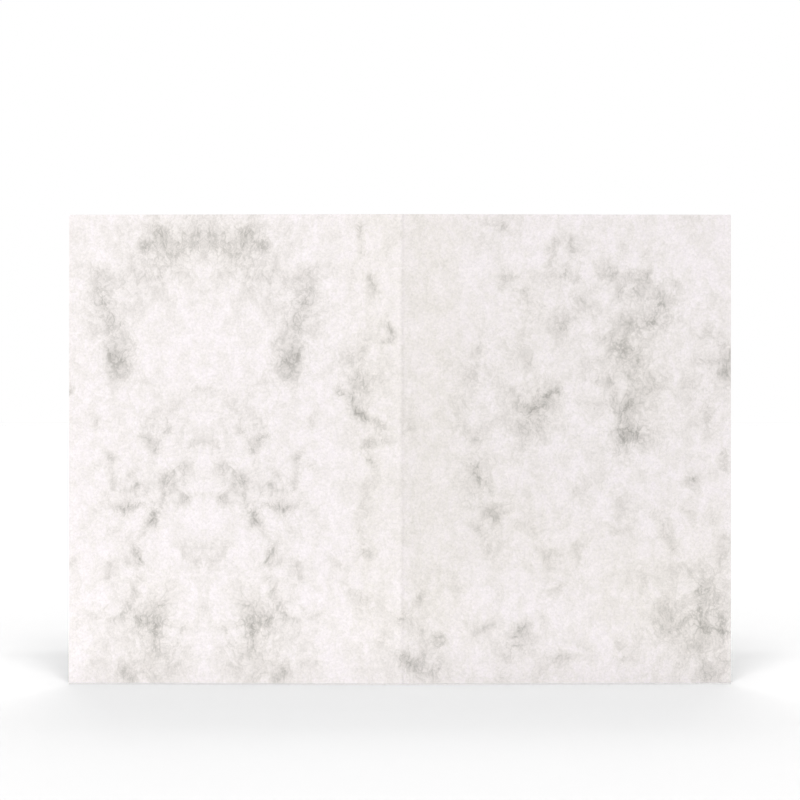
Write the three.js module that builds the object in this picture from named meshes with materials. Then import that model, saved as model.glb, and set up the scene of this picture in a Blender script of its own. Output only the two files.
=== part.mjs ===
// A folded card: one sheet of marbled cardstock, scored and folded once down its middle.
//
// It stands on its lower edge, opened almost flat, with the outside of the fold to the front.
// Millimetres, +Z up, front towards -Y. The origin lies on the surface that the card stands on,
// at the middle of its footprint. The sheet is drawn as a section in X and Y, then given its height.
import * as THREE from "three";

// The flat sheet, before it is folded: it folds to half this width
const sheetWidth = 210;
const sheetHeight = 148;
const sheetThickness = 0.26;

// Degrees that each half leans back from the front plane. The card opens to 180 less twice this.
const panelLean = 5;

// The scored line: a groove pressed in the inside, and the bead that it raises on the outside
const creaseWidth = 1.4; // the sheet turns its corner across this width
const grooveWidth = 1.6;
const grooveDepth = 0.08;
const beadWidth = 2.5;
const beadHeight = 0.13;
const creaseSteps = 24; // straight steps across the bead and across the groove

const cardColour = 0xf3eeed; // pinkish white, the ground of the marbling
const cardRoughness = 0.9; // uncoated

const half = sheetWidth / 2;
const lean = THREE.MathUtils.degToRad(panelLean);
const foldRadius = creaseWidth / (2 * lean);

// A point of the folded section. along runs across the sheet from the fold, in the middle of its
// thickness, and out is the distance from there towards the outside of the fold.
function folded(along, out) {
  const turn = THREE.MathUtils.clamp(along / foldRadius, -lean, lean);
  const straight = along - foldRadius * turn;
  return new THREE.Vector2(
    (foldRadius + out) * Math.sin(turn) + straight * Math.cos(turn),
    foldRadius - (foldRadius + out) * Math.cos(turn) + straight * Math.sin(turn),
  );
}

// A smooth hump over the fold, 1 at its middle and 0 from half its width outwards
function hump(along, width) {
  const share = Math.min(1, Math.abs(along) / (width / 2));
  return (1 + Math.cos(Math.PI * share)) / 2;
}

const outsideOf = (along) => sheetThickness / 2 + beadHeight * hump(along, beadWidth);
const insideOf = (along) => -sheetThickness / 2 + grooveDepth * hump(along, grooveWidth);

// Where one face of the section has its points: at its two cut ends, and close together over the fold
function stations(width) {
  const near = Array.from(
    { length: creaseSteps + 1 },
    (_, i) => width * (i / creaseSteps - 1 / 2),
  );
  return [-half, ...near, half];
}

// The whole section, anticlockwise: along the outside from left to right, then back along the inside
function sectionPoints() {
  const outside = stations(beadWidth).map((along) => folded(along, outsideOf(along)));
  const inside = stations(grooveWidth).map((along) => folded(along, insideOf(along)));
  return [...outside, ...inside.reverse()];
}

// The folded sheet, with its footprint's middle over the origin
function makeSheet() {
  const points = sectionPoints();
  const footprint = new THREE.Box2().setFromPoints(points);
  const middle = footprint.getCenter(new THREE.Vector2());
  const section = new THREE.Shape(points.map((point) => point.sub(middle)));
  const geometry = new THREE.ExtrudeGeometry(section, {
    depth: sheetHeight,
    bevelEnabled: false,
  });
  const cardstock = new THREE.MeshStandardMaterial({
    color: cardColour,
    roughness: cardRoughness,
    metalness: 0,
  });
  const sheet = new THREE.Mesh(geometry, cardstock);
  sheet.name = "folded_card";
  return sheet;
}

const card = new THREE.Group();
card.add(makeSheet());

export default card;
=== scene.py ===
# %% [markdown]
# A folded card of marbled cardstock, standing wide open on a table.
#
# The card is one sheet, scored and folded once down its middle. Its place and its height come from
# a solid model of the same card, which is loaded first and never changed. This script gives the
# card a finer mesh and its finish in five steps: cut the sheet, fold it, marble it, stand it on the
# table, and light it softly.

# %% Load the solid model and keep its box
import math

import bpy
import numpy as np
from mathutils import Matrix, Vector, noise


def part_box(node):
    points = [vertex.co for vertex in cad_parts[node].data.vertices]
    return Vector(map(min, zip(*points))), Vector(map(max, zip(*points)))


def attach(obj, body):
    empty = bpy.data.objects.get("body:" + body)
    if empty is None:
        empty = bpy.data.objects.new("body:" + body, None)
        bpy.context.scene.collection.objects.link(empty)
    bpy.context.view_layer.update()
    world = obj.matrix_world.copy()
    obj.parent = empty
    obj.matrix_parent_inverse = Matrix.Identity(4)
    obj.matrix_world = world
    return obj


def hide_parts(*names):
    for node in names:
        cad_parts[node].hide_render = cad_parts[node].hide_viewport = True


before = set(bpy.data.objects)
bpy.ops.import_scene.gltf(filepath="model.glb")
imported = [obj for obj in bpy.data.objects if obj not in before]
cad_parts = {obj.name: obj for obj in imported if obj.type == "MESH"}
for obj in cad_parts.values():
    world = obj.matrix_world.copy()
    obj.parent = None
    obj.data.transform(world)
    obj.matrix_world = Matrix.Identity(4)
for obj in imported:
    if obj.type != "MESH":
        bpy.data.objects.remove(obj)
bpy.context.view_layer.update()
low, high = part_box("folded_card")
print("the solid card in mm:", [round(1000 * size, 2) for size in high - low])

# %% [markdown]
# The sheet has the A5 format and folds to A6, a common size for a note card. Cardstock of 200 g a
# square metre is a quarter of a millimetre thick. A folding machine first presses a blunt blade
# into the side that will be the inside. That leaves a groove there and a low bead on the outside,
# and the fibres bend between the two without cracking.

# %% Sizes of the sheet and of its crease
MM = 0.001
SHEET_WIDTH = 210 * MM
SHEET_HEIGHT = high.z - low.z
THICKNESS = 0.26 * MM
LEAN = math.radians(5)  # how far each half leans back from the front plane

CREASE = {
    "Crease Width": 1.4 * MM,
    "Bead Width": 2.5 * MM,
    "Bead Height": 0.13 * MM,
    "Bead Crest": 0.5 * MM,  # to the right of the fold
    "Groove Width": 1.6 * MM,
    "Groove Depth": 0.08 * MM,
}
print("the sheet opens to", round(180 - 2 * math.degrees(LEAN)), "degrees")


# %% [markdown]
# Both the folding and the finishes are node trees, and most of a tree is the same three steps:
# make a node, set its options, fill or link its inputs. One helper does that for every kind of
# node, and so a tree reads from top to bottom like a recipe.

# %% A helper that adds one node to any tree
def add(tree, kind, links=None, **settings):
    """Adds a node with its settings, and links or fills its inputs.

    A node that is given as a source stands for its first output.
    """
    node = tree.nodes.new(kind)
    for name, value in settings.items():
        setattr(node, name, value)
    for key, source in (links or {}).items():
        if isinstance(source, bpy.types.Node):
            source = source.outputs[0]
        if isinstance(source, bpy.types.NodeSocket):
            tree.links.new(source, node.inputs[key])
        else:
            node.inputs[key].default_value = source
    return node


# %% [markdown]
# A fold follows a rule, so the sheet can be folded by Geometry Nodes. It could also be two flat
# boards that meet at an edge, but then the crease would be a knife edge and catch no light. Here
# every point of a flat sheet is known by its distance along the sheet, from the fold, and by its
# distance out of the sheet's middle. Across the crease the sheet runs along a small arc, and
# beyond it each half runs straight on. A board of card is never quite flat, so the halves also get
# a waviness that is thinner than the card itself.

# %% The tree's named inputs
fold = bpy.data.node_groups.new("fold a scored sheet", "GeometryNodeTree")
FOLD_INPUTS = {
    "Sheet Width": SHEET_WIDTH,
    "Sheet Height": SHEET_HEIGHT,
    "Thickness": THICKNESS,
    "Lean": LEAN,
    **CREASE,
    "Waviness": 0.12 * MM,
    "Columns": 236,  # these two give the mesh points that the marbling is painted on
    "Rows": 152,
}
for name, value in FOLD_INPUTS.items():
    whole = isinstance(value, int)
    fold.interface.new_socket(
        name, in_out="INPUT", socket_type="NodeSocketInt" if whole else "NodeSocketFloat"
    )
for name in ("Cardstock", "Cut Edge"):
    fold.interface.new_socket(name, in_out="INPUT", socket_type="NodeSocketMaterial")
fold.interface.new_socket("Sheet", in_out="OUTPUT", socket_type="NodeSocketGeometry")
given = add(fold, "NodeGroupInput").outputs
print("the folding tree takes", len(FOLD_INPUTS), "numbers and 2 materials")

# %% [markdown]
# The flat sheet is a box of many columns and rows. The crease is only a few millimetres wide, so
# it needs columns far closer together than the flat halves do. Each column is drawn in towards
# the fold by an amount that levels off a few centimetres away, and then the whole is stretched
# back to its full width.

# %% A flat sheet whose columns gather at the crease
GATHER_REACH = 10 * MM  # how far from the fold columns are drawn in
GATHER_SHARE = 0.93  # how much of that reach they give up

size = add(
    fold,
    "ShaderNodeCombineXYZ",
    {0: given["Sheet Width"], 1: given["Thickness"], 2: given["Sheet Height"]},
)
sheet = add(
    fold,
    "GeometryNodeMeshCube",
    {
        "Size": size,
        "Vertices X": given["Columns"],
        "Vertices Y": 2,
        "Vertices Z": given["Rows"],
    },
)
place = add(fold, "ShaderNodeSeparateXYZ", {0: add(fold, "GeometryNodeInputPosition")})
reached = add(fold, "ShaderNodeMath", {0: place, 1: GATHER_REACH}, operation="DIVIDE")
bend = add(fold, "ShaderNodeMath", {0: reached}, operation="TANH")
pull = add(
    fold, "ShaderNodeMath", {0: bend, 1: GATHER_SHARE * GATHER_REACH}, operation="MULTIPLY"
)
gathered = add(fold, "ShaderNodeMath", {0: place, 1: pull}, operation="SUBTRACT")
half = add(fold, "ShaderNodeMath", {0: given["Sheet Width"], 1: 0.5}, operation="MULTIPLY")
left = add(
    fold, "ShaderNodeMath", {0: half, 1: GATHER_SHARE * GATHER_REACH}, operation="SUBTRACT"
)
spread = add(fold, "ShaderNodeMath", {0: half, 1: left}, operation="DIVIDE")
along = add(fold, "ShaderNodeMath", {0: gathered, 1: spread}, operation="MULTIPLY")
out = add(fold, "ShaderNodeMath", {0: place.outputs["Y"], 1: -1}, operation="MULTIPLY")

# %% [markdown]
# The blade never meets the fold's middle to the hair, so the bead is a little steeper on its right
# side. That is why the fold shows as a pale line with a sharper dark one beside it.

# %% The bead outside and the groove inside, both smooth humps over the fold
from_fold = add(fold, "ShaderNodeMath", {0: along}, operation="ABSOLUTE")
half_groove = add(fold, "ShaderNodeMath", {0: given["Groove Width"], 1: 0.5}, operation="MULTIPLY")
groove = add(
    fold,
    "ShaderNodeMapRange",
    {"Value": from_fold, "From Max": half_groove, "To Min": given["Groove Depth"], "To Max": 0},
    interpolation_type="SMOOTHSTEP",
)
off_crest = add(fold, "ShaderNodeMath", {0: along, 1: given["Bead Crest"]}, operation="SUBTRACT")
from_crest = add(fold, "ShaderNodeMath", {0: off_crest}, operation="ABSOLUTE")
crest_side = add(fold, "ShaderNodeMath", {0: off_crest}, operation="SIGN")
shorter = add(fold, "ShaderNodeMath", {0: crest_side, 1: given["Bead Crest"]}, operation="MULTIPLY")
half_bead = add(fold, "ShaderNodeMath", {0: given["Bead Width"], 1: 0.5}, operation="MULTIPLY")
flank = add(fold, "ShaderNodeMath", {0: half_bead, 1: shorter}, operation="SUBTRACT")
bead = add(
    fold,
    "ShaderNodeMapRange",
    {"Value": from_crest, "From Max": flank, "To Min": given["Bead Height"], "To Max": 0},
    interpolation_type="SMOOTHSTEP",
)
outer = add(fold, "ShaderNodeMath", {0: out, 1: 0}, operation="GREATER_THAN")
lift = add(fold, "ShaderNodeMix", {0: outer, 2: groove, 3: bead})
lifted = add(fold, "ShaderNodeMath", {0: out, 1: lift}, operation="ADD")

# %% The fold itself: turn each point about the crease's arc
spread_turn = add(
    fold, "ShaderNodeMath", {0: given["Crease Width"], 1: given["Lean"]}, operation="DIVIDE"
)
radius = add(fold, "ShaderNodeMath", {0: spread_turn, 1: 0.5}, operation="MULTIPLY")
turned = add(fold, "ShaderNodeMath", {0: along, 1: radius}, operation="DIVIDE")
back = add(fold, "ShaderNodeMath", {0: given["Lean"], 1: -1}, operation="MULTIPLY")
turn = add(fold, "ShaderNodeClamp", {0: turned, 1: back, 2: given["Lean"]})
arc = add(fold, "ShaderNodeMath", {0: radius, 1: turn}, operation="MULTIPLY")
straight = add(fold, "ShaderNodeMath", {0: along, 1: arc}, operation="SUBTRACT")
arm = add(fold, "ShaderNodeMath", {0: radius, 1: lifted}, operation="ADD")
forward = add(fold, "ShaderNodeMath", {0: arm, 1: -1}, operation="MULTIPLY")
spoke = add(fold, "ShaderNodeCombineXYZ", {0: straight, 1: forward, 2: place.outputs["Z"]})
swung = add(fold, "ShaderNodeVectorRotate", {"Vector": spoke, "Angle": turn}, rotation_type="Z_AXIS")

# %% A slight waviness that dies out at the stiff crease
WAVE_LENGTH = 75 * MM
CALM = 35 * MM  # how far from the fold the sheet is flat

flat_place = add(fold, "ShaderNodeCombineXYZ", {0: along, 2: place.outputs["Z"]})
waves = add(
    fold,
    "ShaderNodeTexNoise",
    {"Vector": flat_place, "Scale": 1 / WAVE_LENGTH, "Detail": 1},
)
freed = add(
    fold,
    "ShaderNodeMapRange",
    {"Value": from_fold, "From Max": CALM},
    interpolation_type="SMOOTHSTEP",
)
centred = add(fold, "ShaderNodeMath", {0: waves, 1: 0.5}, operation="SUBTRACT")
eased = add(fold, "ShaderNodeMath", {0: centred, 1: freed}, operation="MULTIPLY")
doubled = add(fold, "ShaderNodeMath", {0: eased, 1: 2}, operation="MULTIPLY")
wave = add(fold, "ShaderNodeMath", {0: doubled, 1: given["Waviness"]}, operation="MULTIPLY")
depth = add(fold, "ShaderNodeMath", {0: wave, 1: radius}, operation="ADD")
moved = add(fold, "ShaderNodeCombineXYZ", {1: depth})
folded = add(fold, "ShaderNodeVectorMath", {0: swung, 1: moved}, operation="ADD")

# %% [markdown]
# A finish that follows the paper needs the place of each point on the flat sheet. The tree stores
# it before it moves anything, in millimetres: how far along from the fold, how far up from the
# lower edge, and 1 on the outside or 0 on the inside. It also marks the four narrow faces where
# the sheet was cut, because a cut shows the bare core and not the printed skin.

# %% Store the flat place, mark the cut faces, move the points and set the materials
up = add(fold, "ShaderNodeMath", {0: place.outputs["Z"], 1: SHEET_HEIGHT / 2}, operation="ADD")
metres = add(fold, "ShaderNodeCombineXYZ", {0: along, 1: up, 2: 0})
millimetres = add(fold, "ShaderNodeVectorMath", {0: metres, "Scale": 1 / MM}, operation="SCALE")
side = add(fold, "ShaderNodeCombineXYZ", {2: outer})
flat = add(fold, "ShaderNodeVectorMath", {0: millimetres, 1: side}, operation="ADD")
with_place = add(
    fold,
    "GeometryNodeStoreNamedAttribute",
    {"Geometry": sheet, "Name": "sheet", "Value": flat},
    data_type="FLOAT_VECTOR",
    domain="POINT",
)
facing = add(fold, "ShaderNodeSeparateXYZ", {0: add(fold, "GeometryNodeInputNormal")})
tilt = add(fold, "ShaderNodeMath", {0: facing.outputs["Y"]}, operation="ABSOLUTE")
rim = add(fold, "ShaderNodeMath", {0: tilt, 1: 0.5}, operation="LESS_THAN")
with_cut = add(
    fold,
    "GeometryNodeStoreNamedAttribute",
    {"Geometry": with_place, "Name": "cut", "Value": rim},
    data_type="BOOLEAN",
    domain="FACE",
)
bent = add(fold, "GeometryNodeSetPosition", {"Geometry": with_cut, "Position": folded})
real = add(fold, "GeometryNodeRealizeInstances", {"Geometry": bent})
printed = add(fold, "GeometryNodeSetMaterial", {"Geometry": real, "Material": given["Cardstock"]})
is_cut = add(fold, "GeometryNodeInputNamedAttribute", {"Name": "cut"}, data_type="BOOLEAN")
finished = add(
    fold,
    "GeometryNodeSetMaterial",
    {"Geometry": printed, "Selection": is_cut, "Material": given["Cut Edge"]},
)
add(fold, "NodeGroupOutput", {0: finished})
print("the folding tree has", len(fold.nodes), "nodes")

# %% [markdown]
# The tree is run once and its result is kept as a plain mesh, so that nothing is left to work out
# later. A bevel goes with it, because a cut edge of card is never a perfect corner.

# %% Fold the sheet and keep the result as a plain mesh
CUT_BEVEL = 0.03 * MM  # the knife leaves a tiny round on each side of the cut
CUT_CORNER = math.radians(60)  # a corner that turns by more than this is a cut one
SHARP = math.radians(30)  # more than any turn in the bead, so only the cut edges shade as corners

cardstock = bpy.data.materials.new("marbled wove cardstock, uncoated")
cut_edge = bpy.data.materials.new("cut edge of cardstock, bare fibre core")

maker = bpy.data.objects.new("card_maker", bpy.data.meshes.new("card_maker"))
bpy.context.scene.collection.objects.link(maker)
folding = maker.modifiers.new("fold", "NODES")
folding.node_group = fold
wanted = {**FOLD_INPUTS, "Cardstock": cardstock, "Cut Edge": cut_edge}
for socket in fold.interface.items_tree:
    if socket.in_out == "INPUT":
        folding[socket.identifier] = wanted[socket.name]
knife = maker.modifiers.new("cut", "BEVEL")
knife.width = CUT_BEVEL
knife.segments = 1
knife.limit_method = "ANGLE"
knife.angle_limit = CUT_CORNER

depsgraph = bpy.context.evaluated_depsgraph_get()
evaluated = maker.evaluated_get(depsgraph)
mesh = bpy.data.meshes.new_from_object(
    evaluated, preserve_all_data_layers=True, depsgraph=depsgraph
)
maker.modifiers.clear()
bpy.data.objects.remove(maker)
mesh.name = "card"
print("points in the folded sheet:", len(mesh.vertices))

# %% Stand it where the solid card stands
corners = np.array([vertex.co for vertex in mesh.vertices])
middle = (corners.min(0) + corners.max(0)) / 2
target = (low + high) / 2
mesh.transform(Matrix.Translation(target - Vector(middle)))
mesh.shade_smooth()
mesh.set_sharp_from_angle(angle=SHARP)
card = bpy.data.objects.new("card", mesh)
bpy.context.scene.collection.objects.link(card)
print("triangles:", sum(len(face.vertices) - 2 for face in mesh.polygons))
print("the folded card in mm:", [round(float(size) / MM, 2) for size in np.ptp(corners, axis=0)])

# %% [markdown]
# Marbling gets its look from grey pigment that floats, gathers and tears into clouds before the
# paper takes it up. On card that is made in quantity, such clouds are usually printed. Noise alone
# gives clouds like that anywhere. To have them where this card has them, the wisps are listed one
# by one, as brush strokes in millimetres on the flat sheet: how dark, how wide, and the points that
# the stroke passes through. Their edges are broken up later by noise. The pattern has a mirror
# line down the left half, so both sides of that line come from the same strokes, and a stroke's
# points are counted across from the line.
#
# Broad and faint strokes are the clouds, narrow and darker ones are the threads, and a stroke of a
# single point is a spot where the pigment settled.

# %% The wisps: darkness, radius, and points across from the mirror line and up from the lower edge
MIRROR_LINE = -62.2  # mm from the fold, on the left half

HEAD_CLOUD = (
    (0.19, 6.0, 0, 139, 9, 138.5, 15, 137),
    (0.14, 4.5, 5, 144, 15, 143),
    (0.19, 3.6, 13, 132, 17, 129),
    (0.18, 5.0, 0, 137, 8, 137, 14, 136),
    (0.16, 3.2, 12, 143, 16, 142),
    (0.14, 3.0, 16, 136, 17, 129),
    (0.18, 1.6, 0, 139, 2, 139.5),
    (0.16, 1.4, 2, 142, 7, 141, 12, 141),
    (0.16, 2.0, 5, 139, 9, 136.5),
    (0.16, 1.4, 13, 139.5, 15, 139),
    (0.20, 1.1, 8.5, 133, 10.5, 131.5, 12, 130),
    (0.24, 1.0, 19.3, 136.6),
    (0.14, 1.5, 17.8, 127, 16.5, 124, 13, 120.5),
    (0.10, 1.0, 3.2, 128, 3, 119.5),
    (0.08, 1.2, 21.5, 141.5),
    (0.08, 1.0, 8.5, 112),
    (0.06, 1.4, 12, 114),
    (0.06, 1.3, 28.5, 144),
    (0.15, 1.0, 37.3, 147),
    (0.06, 1.5, 33, 141),
)
LONG_OVALS = (
    (0.24, 4.2, 31, 126, 29.5, 115, 27.5, 106, 25.5, 97),
    (0.28, 3.4, 31, 119, 29, 110, 27, 99),
    (0.14, 2.6, 34.5, 118, 33, 126),
    (0.27, 1.2, 36, 131, 33.5, 128.5, 31.5, 122),
    (0.28, 1.2, 31.3, 121, 30, 116, 27, 112),
    (0.24, 1.2, 24, 109.5, 22, 108),
    (0.35, 1.5, 28.5, 106, 28, 103.5),
    (0.17, 1.0, 22, 104),
    (0.22, 1.9, 28, 98, 26, 100),
)
FOLD_STRIP = (
    (0.62, 0.9, 50, 144, 50.3, 138, 51, 135.5),
    (0.62, 0.9, 52, 128.5, 53.5, 124, 54.5, 123.5),
    (0.90, 1.0, 58.5, 113, 59.5, 111),
    (0.74, 0.9, 57.2, 108, 60, 108.3),
    (0.32, 1.5, 48.5, 110, 49.5, 106),
    (0.24, 4.0, 49, 99, 52, 96),
    (0.53, 1.2, 46.5, 102, 47.5, 98, 48.5, 94),
    (0.53, 1.2, 51.5, 97.5, 52, 93),
    (0.82, 0.9, 43.5, 91.5, 46.5, 90.5, 47.5, 88, 48.5, 85.5),
    (0.70, 1.1, 48.4, 85.4),
    (0.74, 1.1, 50, 84, 53, 83.5, 56, 81),
    (0.53, 1.2, 51, 75.5, 55, 76.5, 58, 76.5),
    (0.70, 0.9, 52.3, 70.5),
    (0.35, 1.2, 53, 68.5),
    (0.53, 1.2, 52.3, 61.5, 52, 58, 50.5, 56.5),
    (0.31, 0.8, 50.5, 53),
    (0.38, 0.9, 48, 48.5, 50, 45.5),
    (0.74, 1.4, 49.5, 42, 52, 41),
    (0.45, 0.9, 41.5, 38.5, 43.5, 37),
    (0.38, 1.0, 44, 32, 47, 29, 49.5, 27),
    (0.49, 1.1, 51.5, 26.5),
    (0.25, 1.3, 53, 22.5),
    (0.53, 1.1, 62.1, 21.3),
    (0.26, 1.3, 57.5, 13.5),
    (0.25, 1.2, 48.5, 11.5),
    (0.40, 1.3, 62.8, 8),
)
LEFT_MIDDLE = (
    (0.14, 4.5, 2, 88, 9, 84),
    (0.27, 0.9, 2, 93, 7, 90, 10, 85),
    (0.65, 1.2, 10.2, 81, 12, 80),
    (0.34, 1.6, 17, 84, 18, 81.5),
    (0.57, 1.0, 0, 76.5, 3, 76, 5, 74.5),
    (0.61, 1.2, 18, 78.5, 16, 76.5, 15.5, 73.5),
    (0.49, 0.9, 33, 84, 34, 81.5),
    (0.47, 1.4, 7, 68, 10, 67, 12, 64.5),
    (0.36, 0.9, 11.6, 65.2),
    (0.41, 1.2, 7, 65.5, 10, 62.5),
    (0.49, 0.9, 11, 60.5, 13, 57.5, 15.5, 55),
    (0.78, 1.2, 16.3, 53.5, 16.8, 51.3),
    (0.34, 1.0, 18.5, 50.5, 19.5, 47),
    (0.90, 0.9, 19.6, 38, 20.1, 40.5, 21.4, 42.8),
    (0.49, 1.0, 30.5, 71.5, 30, 68, 28.7, 65, 28.5, 62),
    (0.22, 1.0, 34.5, 68.5),
    (0.46, 0.9, 21.5, 67, 24, 66.8),
    (0.61, 0.9, 20.5, 62, 22.5, 61, 24.5, 61),
    (0.40, 1.0, 18, 59.5),
    (0.74, 0.9, 20.5, 57, 22, 56, 24, 55),
    (0.80, 1.2, 27.2, 54.8),
    (0.68, 1.0, 25.4, 54.3, 26.5, 52.3),
    (0.28, 1.0, 31.5, 57.5),
    (0.43, 1.1, 2, 60, 4, 58.5),
    (0.51, 1.1, 5.5, 59, 6.2, 56.5),
    (0.14, 2.0, 29.5, 49),
)
LEFT_FOOT = (
    (0.27, 1.6, 1, 44, 2, 37, 7.5, 36),
    (0.30, 0.9, 6.5, 43, 6.5, 40.5),
    (0.26, 1.3, 23.5, 38, 28, 38.5, 30, 37),
    (0.37, 1.0, 30.7, 36.5, 30.5, 32),
    (0.43, 1.0, 22, 33, 21.3, 31.5),
    (0.46, 1.5, 22.3, 29, 22, 26, 23.5, 23.5),
    (0.46, 0.9, 12, 30, 12, 27, 13, 24.5, 14.5, 24),
    (0.28, 0.8, 16, 27),
    (0.24, 4.2, 15, 17, 20, 17),
    (0.54, 1.1, 11.5, 19, 14, 18.5, 16, 18, 20, 19.6, 22, 18, 22, 16, 21.2, 15),
    (0.54, 1.2, 15, 16, 17, 14.5, 18, 14),
    (0.43, 1.3, 16, 22, 20, 21.5, 25, 20.5),
    (0.37, 0.8, 25, 20.5, 30, 20.4, 34, 21.5, 37, 21.5),
    (0.34, 0.8, 30.5, 24),
    (0.52, 1.2, 0.3, 22.4),
    (0.33, 0.9, 6, 18, 8, 15, 9.5, 12.5),
    (0.36, 1.2, 9.5, 12),
    (0.37, 1.4, 10.5, 9, 11, 5.5, 8, 5.5),
    (0.22, 4.0, 17, 9, 22, 5),
    (0.38, 1.1, 17, 12.5, 15.5, 11),
    (0.28, 0.9, 30.7, 11.7),
    (0.16, 1.2, 30, 16),
    (0.38, 1.0, 33.5, 5, 36, 7),
    (0.39, 1.7, 25, 4, 23, 1),
    (0.40, 1.0, 23, 0.7),
    (0.46, 1.0, 13.8, 0.7, 17, 2.5),
)
RIGHT_HEAD = (
    (0.30, 1.4, 63.3, 142),
    (0.30, 1.8, 90, 145, 94, 144.5, 98, 143.5),
    (0.24, 1.1, 94, 144.5),
    (0.14, 1.6, 91.5, 136),
    (0.34, 1.0, 94, 128.5, 98, 129, 100, 128),
    (0.21, 1.6, 94, 126, 97, 124.5),
    (0.41, 1.4, 101, 124),
    (0.38, 1.2, 101.5, 121, 102.5, 117.5),
    (0.36, 1.0, 111.5, 139, 110.5, 133.5, 109, 131.5),
    (0.72, 1.2, 115, 130.2, 116, 129.6),
    (0.40, 1.2, 113, 129.5, 117, 128.8, 110.5, 128.5),
    (0.30, 0.9, 110, 125.8),
    (0.26, 1.1, 109, 120),
    (0.28, 3.0, 113.5, 115, 117, 117),
    (0.63, 1.3, 113.7, 112.1),
    (0.28, 1.0, 101.5, 111, 101.5, 107.5),
    (0.38, 1.4, 103.5, 104.5, 103, 101),
    (0.15, 2.4, 96, 106),
    (0.67, 1.0, 87.3, 105.5),
    (0.15, 1.5, 75.5, 102.5),
    (0.30, 1.2, 84.8, 100, 86.5, 98),
    (0.14, 4.2, 84.5, 95),
    (0.30, 1.0, 82.3, 95.5),
    (0.26, 1.0, 85.3, 93.8),
    (0.34, 1.4, 82.3, 88),
    (0.42, 1.1, 81, 82, 83.5, 80, 85.5, 78),
    (0.45, 1.2, 85.2, 77.8),
    (0.26, 1.2, 66.5, 86.5, 66.5, 82, 65.5, 80),
)
RIGHT_HEART = (
    (0.15, 3.4, 126, 130, 132, 125, 139, 123.5, 144.5, 121, 144, 116, 137, 112.5),
    (0.26, 5.0, 103, 88, 104, 81),
    (0.29, 0.9, 92.5, 93.5, 98, 91.5),
    (0.50, 1.1, 99, 89.5, 99.5, 87),
    (0.72, 1.6, 102.3, 86.6, 103.8, 87),
    (0.67, 1.0, 112, 92, 109, 91.8, 107.5, 90, 107.5, 88),
    (0.36, 1.6, 107, 86, 106, 82, 104, 79.5),
    (0.35, 1.6, 102.5, 78),
    (0.26, 1.1, 98, 79.5),
    (0.22, 1.1, 95, 83.5),
    (0.23, 1.2, 105.8, 92.5),
    (0.47, 1.0, 117, 140, 117, 136.5),
    (0.23, 1.2, 119.5, 120),
    (0.50, 1.1, 134.3, 142.8),
    (0.30, 1.0, 133, 138.3),
    (0.30, 0.9, 140.3, 135.3),
    (0.34, 0.8, 129.7, 134.5, 129.7, 131.5),
    (0.38, 1.2, 127, 130, 130, 127, 132, 125, 133, 122),
    (0.38, 1.1, 131, 129, 136, 128.5, 137.5, 126),
    (0.56, 1.1, 136, 124.2, 139, 124),
    (0.56, 1.2, 141.7, 131, 141, 127, 143, 125, 145, 122.5, 144.5, 120, 143.5, 117),
    (0.42, 1.1, 144.2, 119),
    (0.56, 1.4, 144.3, 114.7, 140.5, 113.5),
    (0.34, 2.2, 135.5, 112, 141, 113),
    (0.50, 0.9, 133.2, 115, 134.5, 113.5),
    (0.35, 1.4, 149, 126.5),
    (0.27, 1.3, 149, 121, 147.5, 116),
    (0.54, 0.8, 127.3, 109),
)
RIGHT_CLOUD = (
    (0.24, 8.0, 133, 106, 138, 99, 135, 88),
    (0.65, 1.3, 132.2, 106.3, 134, 105.5),
    (0.33, 1.1, 131.2, 105, 133, 101.5),
    (0.21, 1.2, 126.3, 101.3),
    (0.26, 1.3, 121.2, 98),
    (0.42, 0.9, 123.5, 96, 127.5, 95.8, 129.5, 93.5, 130, 91),
    (0.41, 1.5, 133.8, 96.7),
    (0.36, 1.2, 137, 98, 137, 101.5),
    (0.26, 1.6, 146, 97.5),
    (0.24, 1.8, 143, 93.5),
    (0.37, 3.4, 134, 86, 135, 79),
    (0.50, 1.2, 134, 88, 133, 85.5),
    (0.56, 1.9, 134.6, 82.4),
    (0.72, 1.4, 136.5, 78, 134, 78.3),
    (0.22, 2.0, 133, 74),
    (0.40, 1.3, 160, 112.5, 159.3, 110.5),
    (0.33, 1.1, 157.5, 101.8, 163, 101),
    (0.58, 2.6, 165.6, 104.5, 165.2, 98),
    (0.19, 1.8, 159.5, 119),
    (0.34, 1.0, 154.5, 94, 153.5, 90),
    (0.18, 1.6, 158.5, 93),
    (0.34, 1.1, 159, 88.5, 160, 85.5),
    (0.61, 1.2, 160.2, 83),
    (0.21, 2.0, 158, 85, 160, 78),
    (0.63, 1.1, 165.3, 72.8),
    (0.45, 1.3, 165.5, 68),
    (0.70, 1.1, 155.3, 63.8),
    (0.26, 1.3, 153.3, 63),
    (0.26, 1.2, 152, 147, 157, 147),
    (0.10, 4.0, 146, 82),
)
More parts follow.
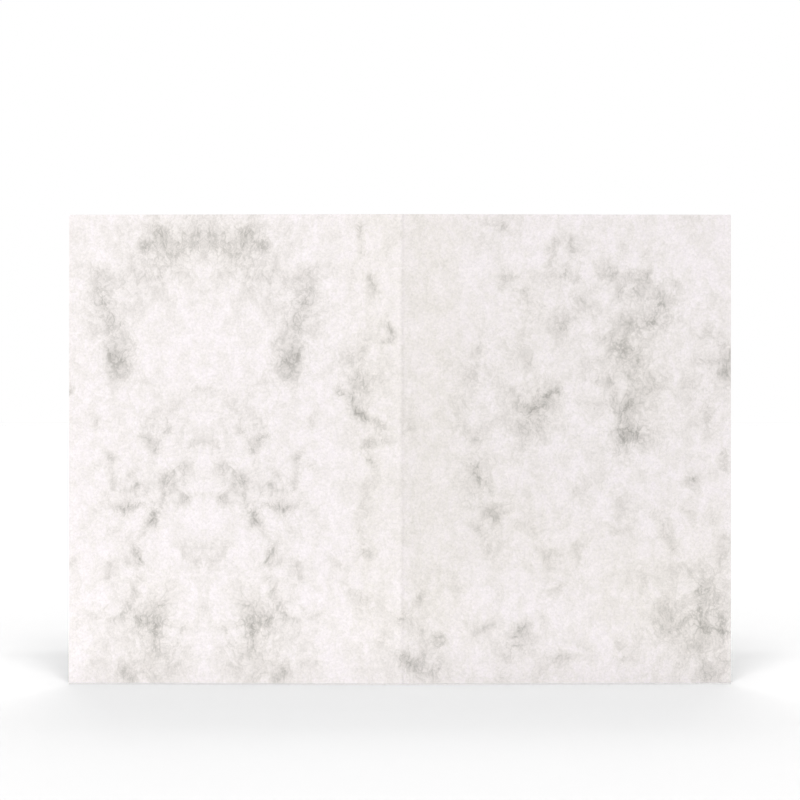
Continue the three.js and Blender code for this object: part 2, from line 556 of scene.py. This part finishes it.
RIGHT_MIDDLE = (
    (0.19, 3.2, 86, 68, 87, 62),
    (0.61, 1.2, 85.8, 69, 85.6, 67),
    (0.63, 1.0, 87.5, 64.5),
    (0.46, 1.2, 88.5, 62.5, 90.5, 61),
    (0.24, 1.0, 85.2, 59.5),
    (0.19, 3.0, 88, 54, 95, 54),
    (0.46, 1.2, 87.9, 53.3),
    (0.43, 1.1, 91.5, 53.3),
    (0.26, 1.1, 93, 51.5),
    (0.43, 1.5, 95.6, 54.6),
    (0.36, 1.1, 86, 48, 88.5, 46.8),
    (0.38, 1.2, 90, 41.7, 90.4, 45),
    (0.22, 0.8, 66.5, 55, 66, 51, 67.5, 47),
    (0.24, 2.2, 75.5, 34.8),
    (0.26, 0.9, 64.3, 33.5),
    (0.46, 0.8, 69, 28.5, 68.3, 26.5, 67, 24.5, 65.5, 21),
    (0.36, 1.3, 62.5, 20.5, 65, 18.5, 68, 15.5),
    (0.26, 1.2, 103.8, 49, 103.5, 55),
    (0.33, 1.0, 105, 43.5, 107, 41, 109, 36.5),
    (0.33, 0.9, 109.5, 42.5, 112.5, 40.5),
    (0.26, 1.3, 118.3, 59.6),
    (0.19, 1.3, 126, 63.5),
    (0.40, 1.2, 131.3, 58.5, 131.5, 55.5, 130.5, 52.5),
    (0.26, 1.0, 130, 48, 134.5, 48.2),
    (0.30, 1.0, 143, 54, 145, 49.5),
    (0.38, 1.3, 145.8, 46.2),
    (0.34, 1.0, 147.5, 44.5, 149, 42.5),
    (0.34, 1.0, 119, 47.3, 118, 43, 119.5, 39),
    (0.21, 1.4, 150, 55, 154, 53),
    (0.22, 1.3, 162, 52),
    (0.22, 1.2, 165, 45),
    (0.19, 1.3, 155, 35.5),
    (0.26, 1.2, 138.8, 35, 139, 29),
)
RIGHT_FOOT = (
    (0.28, 3.6, 64, 7, 69, 4),
    (0.58, 1.4, 69.3, 7),
    (0.45, 1.2, 64, 9, 66, 5),
    (0.45, 1.2, 74, 5, 71, 2.5),
    (0.76, 0.8, 73.3, 14, 74.5, 14.6, 75.7, 13.5, 75.2, 12, 73.8, 11.8, 73.2, 13),
    (0.50, 0.8, 87, 16.2, 88.5, 17.3, 91, 18.3),
    (0.32, 1.0, 83, 20, 84, 18.5),
    (0.22, 0.9, 90.8, 20.5),
    (0.16, 1.2, 93, 28.5),
    (0.63, 0.9, 99.3, 15, 99.5, 18.3, 102.4, 18.6, 102.2, 16.2),
    (0.45, 1.0, 101.6, 16.4),
    (0.63, 0.9, 98.5, 12.2, 100.5, 11),
    (0.46, 1.2, 96.2, 9.2),
    (0.38, 1.0, 104.7, 10),
    (0.13, 5.0, 98, 10, 104, 5),
    (0.22, 1.0, 93, 6),
    (0.43, 1.3, 93.5, 1.3),
    (0.45, 1.0, 109.3, 28.8, 113, 30.5),
    (0.35, 1.0, 107.5, 22.5, 108, 20),
    (0.43, 0.9, 112.5, 8.5, 111.5, 7),
    (0.43, 1.1, 117.5, 9, 115, 8.5),
    (0.15, 1.8, 108, 3.5),
    (0.38, 1.0, 129.5, 13, 132, 10.5),
    (0.34, 1.0, 132.8, 7.3),
    (0.22, 1.2, 139, 3.2),
    (0.26, 1.0, 143, 3),
)
DARK_CORNER = (
    (0.12, 4.5, 141, 23, 146.5, 17.5, 153, 21, 160, 29),
    (0.22, 7.5, 163, 30, 162, 16, 161, 6),
    (0.12, 6.0, 150, 24, 152, 12),
    (0.34, 1.3, 165, 40, 162.5, 36, 160, 31.5),
    (0.37, 1.5, 157.5, 29.3, 157.8, 24.8, 156.5, 22.5),
    (0.39, 1.0, 155.5, 21.5, 153, 20.5, 150.5, 19.3),
    (0.30, 1.4, 161.8, 26.8),
    (0.33, 1.4, 160.5, 21, 165, 20),
    (0.58, 1.3, 158, 18, 160.5, 17, 163, 16.3, 166, 16.5),
    (0.33, 2.0, 161.5, 12.5, 165, 12.5),
    (0.26, 1.6, 165.5, 6),
    (0.43, 1.9, 146.5, 17.5),
    (0.33, 1.9, 144.5, 22.5, 142.5, 22),
    (0.22, 1.4, 152, 5, 154, 10.5),
    (0.34, 1.7, 157, 4.5, 158.5, 2),
    (0.30, 1.3, 159.5, 1),
    (0.22, 1.4, 161.5, 4.5),
)
WISPS = (
    *HEAD_CLOUD,
    *LONG_OVALS,
    *FOLD_STRIP,
    *LEFT_MIDDLE,
    *LEFT_FOOT,
    *RIGHT_HEAD,
    *RIGHT_HEART,
    *RIGHT_CLOUD,
    *RIGHT_MIDDLE,
    *RIGHT_FOOT,
    *DARK_CORNER,
)
print("wisps laid by hand:", len(WISPS))

# %% [markdown]
# Beside the grey there is a broad warm cast, where thin pigment has dulled the pinkish ground. It
# is strongest along the fold and spreads over the lower right. It is laid in the same way, with
# much wider strokes.

# %% The warm cast, in wide strokes
WARM_CAST = (
    (0.62, 9.0, 54, 148, 54, 20),
    (0.95, 12.0, 71, 148, 72, 90, 71, 45, 74, 25),
    (0.55, 13.0, 92, 62, 95, 45),
    (0.60, 14.0, 110, 45, 125, 38, 140, 35, 155, 40),
    (0.60, 12.0, 135, 25, 155, 18),
    (0.35, 12.0, 100, 120, 104, 90),
    (0.40, 12.0, 135, 105, 140, 92),
    (0.40, 10.0, 8, 137, 10, 142),
    (0.30, 9.0, 16, 30, 18, 8),
)


# %% [markdown]
# Wet pigment bleeds. So each stroke is laid twice: once as it is, and once as a halo, which is
# wider and fainter. Strokes that cross don't add up past the full colour, because each one only
# takes its share of the paper that the others have left bare.

# %% Paint strokes onto points of the sheet
HALO_WIDTH = 2.7  # how much wider than its stroke a halo is
HALO_SHARE = 0.36  # how dark it is beside its stroke


def distance_to(points, start, end):
    """How far each point lies from one straight piece of a stroke."""
    run = end - start
    share = np.clip((points - start) @ run / (run @ run), 0, 1)
    gap = points - (start + share[:, None] * run)
    return np.hypot(gap[:, 0], gap[:, 1])


def painted(points, strokes, wider=1.0, share=1.0):
    """How much of the strokes' colour each point takes, from 0 to 1."""
    bare = np.ones(len(points))
    for amount, radius, *numbers in strokes:
        path = np.array(numbers, float).reshape(-1, 2)
        gaps = [distance_to(points, start, end) for start, end in zip(path, path[1:])]
        gap = np.min(gaps, axis=0) if gaps else np.hypot(*(points - path[0]).T)
        bare *= 1 - share * amount * np.exp(-((gap / (wider * radius)) ** 2))
    return 1 - bare


# %% [markdown]
# A brush stroke has a smooth outline and torn pigment hasn't. So each point of the mesh doesn't
# look up its own place among the strokes, but one that noise has pushed a millimetre or so aside.
# The inside of the card gets the same strokes upside down, with other noise. Nobody sees both
# sides at once, and so it passes for a pattern of its own.
#
# This noise starts anew in each run of Blender unless it is given a seed. With one, the card comes
# out the same every time.

# %% Ragged edges: each point looks up a place that is pushed about by noise
RAGGED = ((9.0, 1.5), (3.2, 0.9))  # mm: the size of the push's own cells, and how far it pushes
INSIDE_SHIFT = 300.0  # mm in the noise between the two sides, so that they don't look alike
NOISE_SEED = 1

noise.seed_set(NOISE_SEED)
count = len(mesh.vertices)
stored = np.empty(count * 3, np.float32)
mesh.attributes["sheet"].data.foreach_get("vector", stored)
stored = stored.reshape(-1, 3)
outside = stored[:, 2] > 0.5
mirror_side = np.where(outside, MIRROR_LINE, -MIRROR_LINE)
across = np.abs(stored[:, 0] - mirror_side)
height_mm = SHEET_HEIGHT / MM
upward = np.where(outside, stored[:, 1], height_mm - stored[:, 1])
points = np.column_stack([across, upward])
pushed = points.copy()
for cell, push in RAGGED:
    for i, (x, y) in enumerate(points):
        sway = noise.noise_vector(Vector((x / cell, y / cell, INSIDE_SHIFT * outside[i])))
        pushed[i] += push * sway.x, push * sway.y

# %% Write the paints into the mesh: ink, warm cast and halo
ink = painted(pushed, WISPS)
halo = painted(pushed, WISPS, HALO_WIDTH, HALO_SHARE)
warmth = painted(points, WARM_CAST)
paint = np.column_stack([ink, warmth, halo]).astype(np.float32)
layer = mesh.attributes.new("marbling", "FLOAT_VECTOR", "POINT")
layer.data.foreach_set("vector", paint.ravel())
print("ink, mean and most:", round(float(ink.mean()), 3), round(float(ink.max()), 3))
print("halo, mean and most:", round(float(halo.mean()), 3), round(float(halo.max()), 3))


# %% Colours: sRGB hex to linear
def linear(hex_colour):
    """An sRGB colour such as "F4EFEE" as linear red, green, blue and full alpha."""
    shares = [int(hex_colour[i : i + 2], 16) / 255 for i in (0, 2, 4)]
    straightened = [
        share / 12.92 if share <= 0.04045 else ((share + 0.055) / 1.055) ** 2.4
        for share in shares
    ]
    return (*straightened, 1.0)


# %% [markdown]
# The paper is uncoated wove cardstock. Uncoated means that the fibres are bare: it has no gloss, a
# roughness near 0.9 and the usual 1.5 for cellulose as IOR. The pigment lies in the paper and not
# on it, so only the colour changes with the marbling and the roughness doesn't.
#
# The colour starts from the hand-laid ink. Noise tears it, and its streaks are longer upwards than
# across, because the clouds of this pattern are drawn out that way. The noise is read at the
# mirrored place, so it mirrors with the wisps.

# %% Where a point of the paper looks up its noise
STREAK = (1.0, 0.62, 1.0)  # less than 1 draws the pattern out along that direction

paper = cardstock
paper.use_nodes = True
pulp = paper.node_tree
pulp.nodes.clear()
flat_sheet = add(pulp, "ShaderNodeAttribute", attribute_name="sheet")
flat_parts = add(pulp, "ShaderNodeSeparateXYZ", {0: flat_sheet.outputs["Vector"]})
line = add(
    pulp,
    "ShaderNodeMapRange",
    {"Value": flat_parts.outputs["Z"], "To Min": -MIRROR_LINE, "To Max": MIRROR_LINE},
)
offset = add(pulp, "ShaderNodeMath", {0: flat_parts, 1: line}, operation="SUBTRACT")
from_line = add(pulp, "ShaderNodeMath", {0: offset}, operation="ABSOLUTE")
layer_apart = add(
    pulp, "ShaderNodeMath", {0: flat_parts.outputs["Z"], 1: INSIDE_SHIFT}, operation="MULTIPLY"
)
mirrored = add(
    pulp, "ShaderNodeCombineXYZ", {0: from_line, 1: flat_parts.outputs["Y"], 2: layer_apart}
)

# %% Swirl the place, in large slow bends, small quick ones and tiny ones
SWIRLS = ((16.0, 7.0), (5.0, 4.0), (1.7, 0.9))  # mm: size of the bends, and how far they reach

swirled = mirrored
for cell, push in SWIRLS:
    sway = add(
        pulp, "ShaderNodeTexNoise", {"Vector": mirrored, "Scale": 1 / cell, "Detail": 2}
    )
    even = add(
        pulp,
        "ShaderNodeVectorMath",
        {0: sway.outputs["Color"], 1: (0.5, 0.5, 0.5)},
        operation="SUBTRACT",
    )
    step = add(pulp, "ShaderNodeVectorMath", {0: even, "Scale": push}, operation="SCALE")
    swirled = add(pulp, "ShaderNodeVectorMath", {0: swirled, 1: step}, operation="ADD")
drawn = add(pulp, "ShaderNodeVectorMath", {0: swirled, 1: STREAK}, operation="MULTIPLY")

# %% [markdown]
# Three noises share the work. One gives soft clouds. The other two give thin lines, long strands
# and short threads: a line is drawn wherever such a noise is close to its own middle value. That
# gives curved lines of an even width, which a threshold on the noise would not.

# %% Noise for the clouds, the long strands and the short threads
CLOUD_CELL = 6.0  # mm
STRAND_CELL = 5.0  # mm
THREAD_CELL = 2.2  # mm

clouds = add(
    pulp,
    "ShaderNodeTexNoise",
    {"Vector": drawn, "Scale": 1 / CLOUD_CELL, "Detail": 7, "Roughness": 0.66},
)
strands = add(
    pulp,
    "ShaderNodeTexNoise",
    {"Vector": drawn, "Scale": 1 / STRAND_CELL, "Detail": 5, "Roughness": 0.6},
)
threads = add(
    pulp,
    "ShaderNodeTexNoise",
    {"Vector": drawn, "Scale": 1 / THREAD_CELL, "Detail": 4, "Roughness": 0.62},
)

# %% Veins: thin lines where a noise crosses its own middle, long ones and short ones
STRAND_REACH = 0.05  # how far from its middle value a noise still draws a line
THREAD_REACH = 0.055
FINE_SHARE = 0.6  # how strong the short threads are beside the long strands

lines = []
for source, reach in ((strands, STRAND_REACH), (threads, THREAD_REACH)):
    middle_gap = add(pulp, "ShaderNodeMath", {0: source, 1: 0.5}, operation="SUBTRACT")
    middle_near = add(pulp, "ShaderNodeMath", {0: middle_gap}, operation="ABSOLUTE")
    vein = add(
        pulp,
        "ShaderNodeMapRange",
        {"Value": middle_near, "From Max": reach, "To Min": 1.0, "To Max": 0.0},
        interpolation_type="SMOOTHSTEP",
    )
    lines.append(vein)
fine = add(pulp, "ShaderNodeMath", {0: lines[1], 1: FINE_SHARE}, operation="MULTIPLY")
veins = add(pulp, "ShaderNodeMath", {0: lines[0], 1: fine}, operation="MAXIMUM")

# %% [markdown]
# Paper takes pigment unevenly. One number says how much of it each point holds: little between the
# clouds, more inside them and most on a vein. The halos are held by that number alone, so they
# fray. The strokes themselves hold more evenly, or thin ones would break up into dots.

# %% How much pigment each point holds
THIN_HOLD = 0.13  # between the clouds
THICK_HOLD = 0.73  # inside them
VEIN_HOLD = 0.50  # what a vein adds

tear = add(
    pulp,
    "ShaderNodeMapRange",
    {
        "Value": clouds,
        "From Min": 0.30,
        "From Max": 0.70,
        "To Min": THIN_HOLD,
        "To Max": THICK_HOLD,
    },
)
fray = add(pulp, "ShaderNodeMath", {0: veins, 1: VEIN_HOLD, 2: tear}, operation="MULTIPLY_ADD")

# %% Density: the ink and its halo, each as far as the paper holds it
STROKE_FRAY = 0.38  # how far a stroke follows the fray
STROKE_HOLD = 0.26  # what it keeps everywhere

paints = add(pulp, "ShaderNodeAttribute", attribute_name="marbling")
inks = add(pulp, "ShaderNodeSeparateXYZ", {0: paints.outputs["Vector"]})
grip = add(
    pulp, "ShaderNodeMath", {0: fray, 1: STROKE_FRAY, 2: STROKE_HOLD}, operation="MULTIPLY_ADD"
)
line_ink = add(pulp, "ShaderNodeMath", {0: inks, 1: grip}, operation="MULTIPLY")
torn = add(
    pulp, "ShaderNodeMath", {0: inks.outputs["Z"], 1: fray, 2: line_ink}, operation="MULTIPLY_ADD"
)

# %% Faint clouds and veins everywhere, and a trace of grey in the warm cast
HAZE = 0.32
FAINT_VEINS = 0.10
WARM_GREY = 0.02

haze = add(
    pulp,
    "ShaderNodeMapRange",
    {"Value": clouds, "From Min": 0.42, "From Max": 0.78, "To Min": 0.0, "To Max": HAZE},
)
mist = add(pulp, "ShaderNodeMath", {0: veins, 1: FAINT_VEINS, 2: haze}, operation="MULTIPLY_ADD")
dulled = add(
    pulp,
    "ShaderNodeMath",
    {0: inks.outputs["Y"], 1: WARM_GREY, 2: mist},
    operation="MULTIPLY_ADD",
)
density = add(pulp, "ShaderNodeMath", {0: torn, 1: dulled}, operation="ADD")
print("pigment held, from least to most:", THIN_HOLD, round(THICK_HOLD + VEIN_HOLD, 2))

# %% The colours of the density, from bare pinkish paper to the darkest grey
GROUND = (
    (0.00, "FAF4F6"),
    (0.20, "F1ECEA"),
    (0.45, "E2DDDA"),
    (0.75, "CBC7C3"),
    (1.00, "B2AEAA"),
)
ramp = add(pulp, "ShaderNodeValToRGB", {0: density})
stops = ramp.color_ramp.elements
for position, colour in GROUND[1:-1]:
    stops.new(position)
for stop, (position, colour) in zip(stops, GROUND):
    stop.position = position
    stop.color = linear(colour)

# %% The warm cast dulls the blue a little
WARM = "FDFDFA"

warm = add(
    pulp,
    "ShaderNodeMix",
    {0: inks.outputs["Y"], 6: linear("FFFFFF"), 7: linear(WARM)},
    data_type="RGBA",
)
toned = add(
    pulp,
    "ShaderNodeMix",
    {0: 1.0, 6: ramp, 7: warm.outputs[2]},
    data_type="RGBA",
    blend_type="MULTIPLY",
)

# %% [markdown]
# Close up, paper is never one colour. Its fibres are far thinner than a millimetre, but they flock
# together in the pulp, and the flocks show as a mottle. The grain here stands for both: its
# largest cells are three quarters of a millimetre, with finer ones inside. It tints the paper a
# little, and the same grain gives the surface its bump.

# %% Grain in the colour and in the surface
GRAIN_CELL = 0.75  # mm
GRAIN_DEPTH = 0.02  # mm
DARK_FLOCK, PALE_FLOCK = 0.855, 1.125  # how much the grain darkens and lightens the colour

grain = add(
    pulp,
    "ShaderNodeTexNoise",
    {
        "Vector": flat_sheet.outputs["Vector"],
        "Scale": 1 / GRAIN_CELL,
        "Detail": 4,
        "Roughness": 0.8,
    },
)
speckle = add(
    pulp,
    "ShaderNodeMapRange",
    {
        "Value": grain,
        "From Min": 0.25,
        "From Max": 0.75,
        "To Min": DARK_FLOCK,
        "To Max": PALE_FLOCK,
    },
)
tinted = add(
    pulp,
    "ShaderNodeMix",
    {0: 1.0, 6: toned.outputs[2], 7: speckle},
    data_type="RGBA",
    blend_type="MULTIPLY",
)
relief = add(
    pulp,
    "ShaderNodeBump",
    {"Height": grain, "Strength": 0.6, "Distance": GRAIN_DEPTH * MM},
)
paper_skin = add(
    pulp,
    "ShaderNodeBsdfPrincipled",
    {
        "Base Color": tinted.outputs[2],
        "Roughness": 0.9,
        "IOR": 1.5,
        "Specular IOR Level": 0.3,
        "Normal": relief,
    },
)
add(pulp, "ShaderNodeOutputMaterial", {0: paper_skin})
print("the cardstock has", len(pulp.nodes), "nodes")

# %% [markdown]
# The knife leaves a bare edge. The pigment sits in the skin of the sheet, so the core shows a
# plain warm white, with the layers of fibre as fine lines along the cut.

# %% The cut edge
LAYER = 0.05  # mm, one layer of fibre

cut_edge.use_nodes = True
core = cut_edge.node_tree
core.nodes.clear()
where = add(core, "ShaderNodeTexCoord")
fibres = add(
    core,
    "ShaderNodeTexNoise",
    {"Vector": where.outputs["Object"], "Scale": 1 / (LAYER * MM), "Detail": 2},
)
core_colour = add(
    core,
    "ShaderNodeMix",
    {0: fibres, 6: linear("F7F2F0"), 7: linear("E9E3DF")},
    data_type="RGBA",
)
core_relief = add(
    core, "ShaderNodeBump", {"Height": fibres, "Strength": 0.5, "Distance": LAYER * MM / 5}
)
core_skin = add(
    core,
    "ShaderNodeBsdfPrincipled",
    {
        "Base Color": core_colour.outputs[2],
        "Roughness": 0.95,
        "IOR": 1.5,
        "Normal": core_relief,
    },
)
add(core, "ShaderNodeOutputMaterial", {0: core_skin})
print("the cut edge has", len(core.nodes), "nodes")

# %% [markdown]
# The finished mesh takes the place of the solid card. The card has no moving part, so all of it
# rides on the one body that there is.

# %% Hand the card over: it stands for the solid and rides on the same body
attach(card, "root")
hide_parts("folded_card")

# %% [markdown]
# The table is a wide plane. It runs so far back that its end is lost in the white of the room. Its
# laminate is grey and its own lamps light it up to white, where a white table would do with less
# light. But a white table would throw the card's light back at the card's foot and wash out the
# shade there, and a grey one hardly does.

# %% The table
TABLE_SIZE = 60.0
TABLE_COLOUR = "6C6C6C"

table_mesh = bpy.data.meshes.new("table")
edge = TABLE_SIZE / 2
table_mesh.from_pydata(
    [(-edge, -edge, 0), (edge, -edge, 0), (edge, edge, 0), (-edge, edge, 0)],
    [],
    [(0, 1, 2, 3)],
)
table = bpy.data.objects.new("table", table_mesh)
bpy.context.scene.collection.objects.link(table)
laminate = bpy.data.materials.new("matt grey laminate")
laminate.use_nodes = True
top = laminate.node_tree
top.nodes.clear()
top_skin = add(
    top,
    "ShaderNodeBsdfPrincipled",
    {"Base Color": linear(TABLE_COLOUR), "Roughness": 0.95, "Specular IOR Level": 0.0},
)
add(top, "ShaderNodeOutputMaterial", {0: top_skin})
table_mesh.materials.append(laminate)
print("the table measures", TABLE_SIZE, "m each way")

# %% [markdown]
# A white card on white needs light that comes from one side, or the fold disappears. A lamp far to
# the left grazes the card, so that the left half is lit a little more than the right, and the
# bead on the fold gets a pale side and a dark side. The rest is soft light from all around.

# %% Light from all around: white where it is seen, weaker where it lights
AMBIENT = 0.35

world = bpy.data.worlds.new("white room")
bpy.context.scene.world = world
world.use_nodes = True
room = world.node_tree
room.nodes.clear()
sight = add(room, "ShaderNodeLightPath")
glow = add(
    room,
    "ShaderNodeMapRange",
    {"Value": sight.outputs["Is Camera Ray"], "To Min": AMBIENT, "To Max": 1.0},
)
white = add(room, "ShaderNodeBackground", {"Color": linear("FFFFFF"), "Strength": glow})
add(room, "ShaderNodeOutputWorld", {0: white})
print("strength of the light from all around:", AMBIENT)

# %% [markdown]
# Each lamp lights either the card or the table, so that one can be set without the other. Blender
# calls that light linking: a lamp is given a group of objects, and lights nothing else.

# %% Groups that say which lamp lights what
groups = {}
for name, member in (("the card", card), ("the table", table)):
    groups[name] = bpy.data.collections.new(name)
    groups[name].objects.link(member)


def lamp(name, azimuth, elevation, strength, spread, lights):
    """A distant lamp. Azimuth 0 is in front of the card and 90 to its right, in degrees."""
    data = bpy.data.lights.new(name, "SUN")
    data.energy = strength
    data.angle = math.radians(spread)
    thing = bpy.data.objects.new(name, data)
    a, e = math.radians(azimuth), math.radians(elevation)
    towards = Vector((math.sin(a) * math.cos(e), -math.cos(a) * math.cos(e), math.sin(e)))
    thing.rotation_euler = towards.to_track_quat("Z", "Y").to_euler()
    thing.location = towards
    bpy.context.scene.collection.objects.link(thing)
    thing.light_linking.receiver_collection = groups[lights]


# %% [markdown]
# The card has four lamps: the grazing one, a weak strip low in front that lifts its foot, a broad
# one in front and one for its inside.

# %% Lamps for the card
def panel(name, place, target, width, height, power):
    """A rectangular lamp that lights only the card and isn't seen itself."""
    data = bpy.data.lights.new(name, "AREA")
    data.shape = "RECTANGLE"
    data.size = width
    data.size_y = height
    data.energy = power
    thing = bpy.data.objects.new(name, data)
    thing.location = place
    thing.rotation_euler = (Vector(place) - Vector(target)).to_track_quat("Z", "Y").to_euler()
    thing.visible_camera = False
    bpy.context.scene.collection.objects.link(thing)
    thing.light_linking.receiver_collection = groups["the card"]


panel("grazing lamp", (-1.07, -0.52, 0.60), (0, 0, 0.07), 0.3, 0.3, 5.6)
panel("low lamp", (0.02, -0.035, 0.011), (0.02, 0, 0.011), 0.6, 0.02, 0.012)
lamp("front lamp", -5, 30, 0.77, 40, "the card")
lamp("inside lamp", 155, 30, 1.1, 30, "the card")

# %% [markdown]
# The table gets pairs of lamps behind the card and in front of it, each pair at its own elevation.
# A low pair throws a long faint shadow, a high pair a short one, and together they fade out from
# the card's foot as the light of a large soft box does. The pairs are turned outwards as they get
# higher, so that every shadow reaches about as far past the card's ends. Each pair's number is the
# share of white that it adds to the open table, and the shares add up to white.

# %% Lamps for the table: elevation, and share of white
BEHIND = ((9, 0.04), (15, 0.05), (20, 0.06), (31, 0.02), (60, 0.02), (79, 0.13))
IN_FRONT = ((8, 0.07), (12, 0.09), (16, 0.13), (23, 0.20), (38, 0.03), (60, 0.06), (77, 0.06))
SPREAD = 6  # degrees across which each lamp is seen from the table
SIDE_REACH = 22 * MM  # how far beside the card the shadow of its top corner falls
PAST_EDGE = 2.1  # degrees by which the line of sight past each end of the card runs outwards
WIDEST_SINE = 0.87  # the sine of the widest turn outwards, about 60 degrees

table_share = linear(TABLE_COLOUR)[0]
for middle, aside, lamps in ((180, 0, BEHIND), (0, PAST_EDGE, IN_FRONT)):
    for elevation, share in lamps:
        slope = math.tan(math.radians(elevation))
        sine = min(WIDEST_SINE, SIDE_REACH * slope / SHEET_HEIGHT)
        fan = math.degrees(math.asin(sine))
        strength = math.pi * share / 2 / table_share / math.sin(math.radians(elevation))
        for side in (-1, 1):
            azimuth = middle + side * (aside + fan)
            lamp(f"at {elevation}, {azimuth:.0f}", azimuth, elevation, strength, SPREAD, "the table")
lit = AMBIENT * table_share + sum(share for _, share in BEHIND + IN_FRONT)
print("white on the open table:", round(lit, 3))

# %% [markdown]
# The card's edges look straight and parallel, so it was seen level and from far away. A long lens
# does that: at 400 mm the camera stands almost three metres off, and the two ends of the card,
# which lie further back than the fold, shrink by less than a pixel.

# %% The camera
LENS = 400
SENSOR = 36
PICTURE = 800  # pixels, the side of the square picture
PIXELS_PER_MM = 3.168
CARD_FOOT_PIXEL = 683.3  # the row where the card meets the table

picture_width = PICTURE / PIXELS_PER_MM * MM
distance = LENS / SENSOR * picture_width
eye_height = (CARD_FOOT_PIXEL - PICTURE / 2) / PIXELS_PER_MM * MM

camera_data = bpy.data.cameras.new("camera")
camera_data.lens = LENS
camera_data.sensor_width = SENSOR
camera_data.clip_end = 100
camera = bpy.data.objects.new("camera", camera_data)
camera.location = (0, -distance, eye_height)
camera.rotation_euler = (math.radians(90), 0, 0)
bpy.context.scene.collection.objects.link(camera)
bpy.context.scene.camera = camera
bpy.context.scene.view_settings.view_transform = "Standard"
print("camera distance and height in m:", round(distance, 3), round(eye_height, 4))
